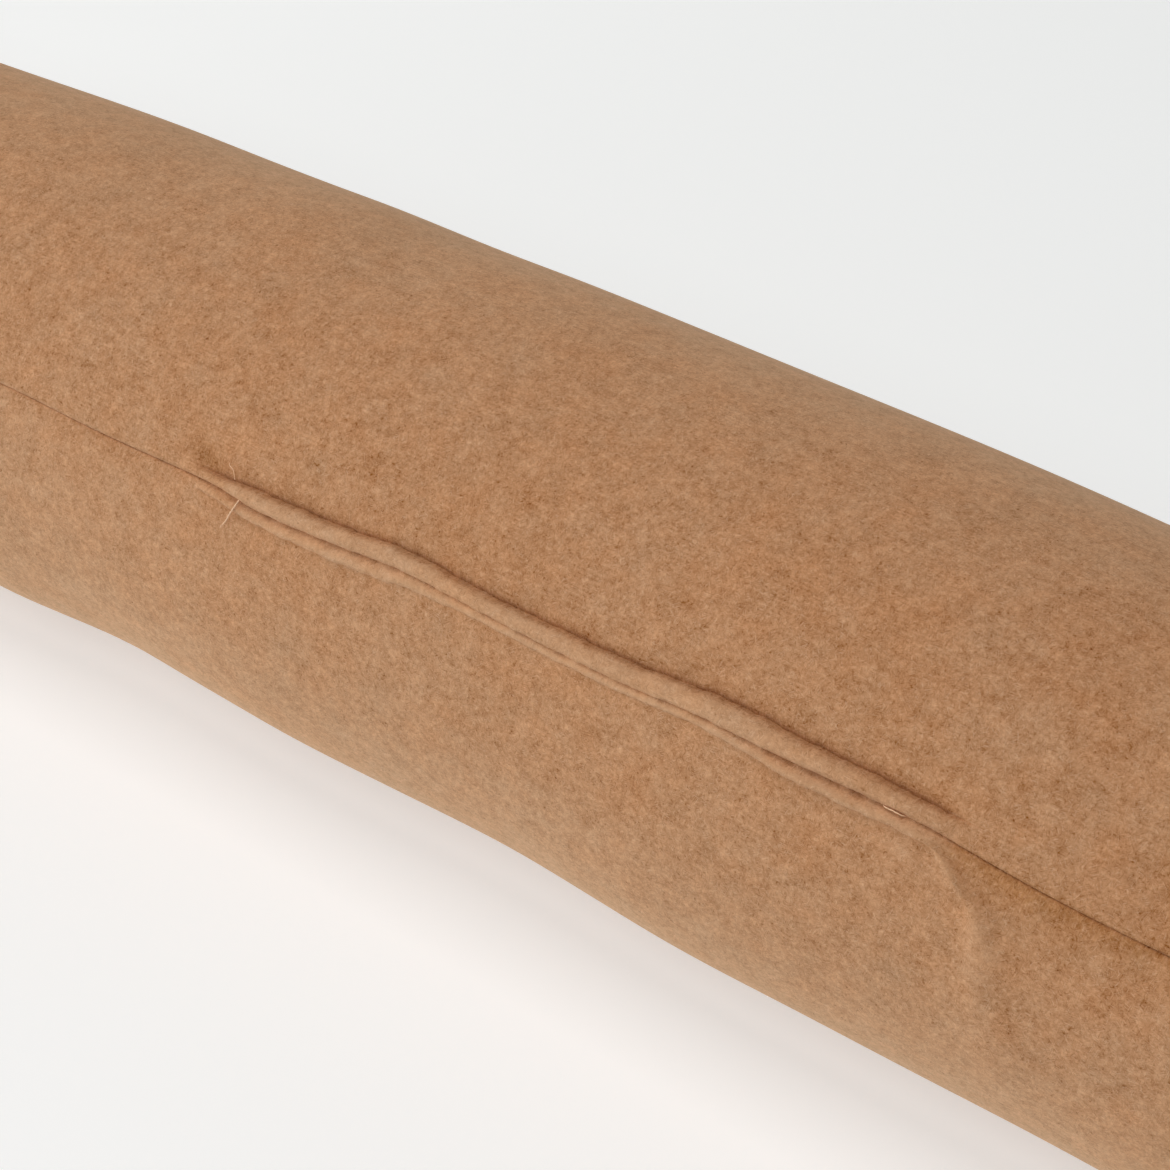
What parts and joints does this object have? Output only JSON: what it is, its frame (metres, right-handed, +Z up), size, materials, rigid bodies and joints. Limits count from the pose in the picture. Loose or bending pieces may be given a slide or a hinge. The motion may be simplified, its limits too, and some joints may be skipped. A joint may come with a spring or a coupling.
{
  "type": "draught excluder",
  "caption": "Long, firmly filled tube of felted wool with round ends, laid along the foot of a door to stop draughts; its seam has a hand-closed turning gap.",
  "frame": {"origin": "middle of the bounding box, on the floor that the tube rests on", "axes": "+X along the tube, +Z up, and the long seam with its closed turning gap faces -Y"},
  "size_m": [0.9, 0.1325, 0.1121],
  "materials": {
    "felted_wool": "matt, softly felted",
    "sewing_thread": "matt cotton"
  },
  "bodies": {
    "root": {"tube": "felted_wool", "end_panel_left": "felted_wool", "end_panel_right": "felted_wool"}
  },
  "joints": []
}
